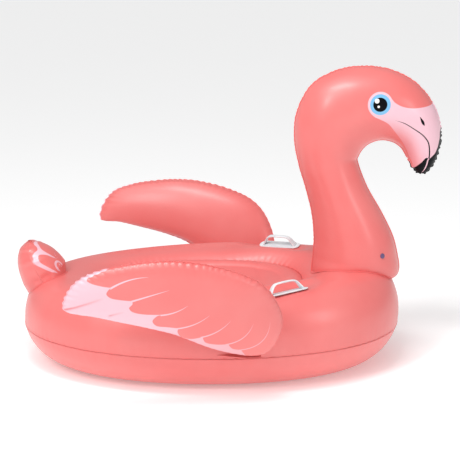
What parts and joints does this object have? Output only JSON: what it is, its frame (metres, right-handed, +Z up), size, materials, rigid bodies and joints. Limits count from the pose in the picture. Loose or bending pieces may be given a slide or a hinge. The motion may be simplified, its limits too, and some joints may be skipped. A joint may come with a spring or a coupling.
{
  "type": "inflatable ride-on pool float",
  "caption": "Inflatable ride-on pool float shaped like a flamingo: oval hull with a dished seat, curved neck and head, swept wings, a stub tail and grab handles.",
  "frame": {"origin": "on the floor, under the middle of the whole float's length and width", "axes": "+X forwards towards the beak, +Y to the bird's left, +Z up"},
  "size_m": [1.4535, 1.2542, 1.0198],
  "materials": {
    "pink_film": "satin coral pink PVC film with pale printed feathers, face and beak",
    "lower_film": "satin coral pink PVC film",
    "weld_film": "pressed weld flange in the film's own pink",
    "web_film": "plain unprinted inner film",
    "handle_vinyl": "soft milky white moulded vinyl",
    "valve_vinyl": "soft tinted vinyl",
    "clear_vinyl": "soft milky vinyl"
  },
  "bodies": {
    "float": {"hull_upper_panel": "pink_film", "hull_lower_panel": "lower_film", "hull_side_weld": "weld_film", "seat_panel": "pink_film", "floor_panel": "lower_film", "seat_ring_wall": "web_film", "seat_cross_webs": "web_film", "neck_right_panel": "pink_film", "neck_left_panel": "pink_film", "neck_centre_weld": "weld_film", "neck_base_weld": "weld_film", "tail_front_panel": "pink_film", "tail_rear_panel": "pink_film", "tail_side_weld": "weld_film", "tail_base_weld": "weld_film", "right_wing_root_weld": "weld_film", "left_wing_root_weld": "weld_film", "right_handle": "handle_vinyl", "left_handle": "handle_vinyl", "neck_valve_flange": "clear_vinyl", "hull_valve_flange": "clear_vinyl"},
    "right_wing": {"right_wing_outer_panel": "pink_film", "right_wing_inner_panel": "pink_film", "right_wing_edge_weld": "weld_film"},
    "left_wing": {"left_wing_outer_panel": "pink_film", "left_wing_inner_panel": "pink_film", "left_wing_edge_weld": "weld_film"},
    "neck_valve_stem": {"neck_valve_stem": "valve_vinyl"},
    "neck_valve_plug": {"neck_valve_plug": "valve_vinyl"},
    "neck_valve_flap": {"neck_valve_flap": "clear_vinyl"},
    "hull_valve_stem": {"hull_valve_stem": "valve_vinyl"},
    "hull_valve_plug": {"hull_valve_plug": "valve_vinyl"},
    "hull_valve_flap": {"hull_valve_flap": "clear_vinyl"}
  },
  "joints": [
    {"name": "right_wing_hinge", "type": "hinge", "parent": "float", "child": "right_wing", "pos_m": [0.03, -0.47, 0.148], "axis": [1, 0, 0], "range_deg": [-3, 20], "stiffness_Nm_per_rad": 6, "springref_deg": -1.15},
    {"name": "left_wing_hinge", "type": "hinge", "parent": "float", "child": "left_wing", "pos_m": [0.03, 0.47, 0.148], "axis": [-1, 0, 0], "range_deg": [-3, 20], "stiffness_Nm_per_rad": 6, "springref_deg": -1.15},
    {"name": "neck_valve_stem_slide", "type": "slide", "parent": "float", "child": "neck_valve_stem", "axis": [0.5293, -0.8362, 0.1435], "range_m": [0, 0.01]},
    {"name": "neck_valve_plug_pull", "type": "slide", "parent": "neck_valve_stem", "child": "neck_valve_plug", "axis": [0.5293, -0.8362, 0.1435], "range_m": [0, 0.012]},
    {"name": "neck_valve_flap_hinge", "type": "hinge", "parent": "neck_valve_stem", "child": "neck_valve_flap", "pos_m": [0.51566, -0.07543, 0.38547], "axis": [0.8449, 0.5349, 0], "range_deg": [0, 50], "stiffness_Nm_per_rad": 0.0005},
    {"name": "hull_valve_stem_slide", "type": "slide", "parent": "float", "child": "hull_valve_stem", "axis": [-0.5237, 0.6381, 0.5645], "range_m": [0, 0.01]},
    {"name": "hull_valve_plug_pull", "type": "slide", "parent": "hull_valve_stem", "child": "hull_valve_plug", "axis": [-0.5237, 0.6381, 0.5645], "range_m": [0, 0.012]},
    {"name": "hull_valve_flap_hinge", "type": "hinge", "parent": "hull_valve_stem", "child": "hull_valve_flap", "pos_m": [-0.52134, 0.25629, 0.24493], "axis": [-0.773, -0.6344, 0], "range_deg": [0, 50], "stiffness_Nm_per_rad": 0.0005}
  ]
}
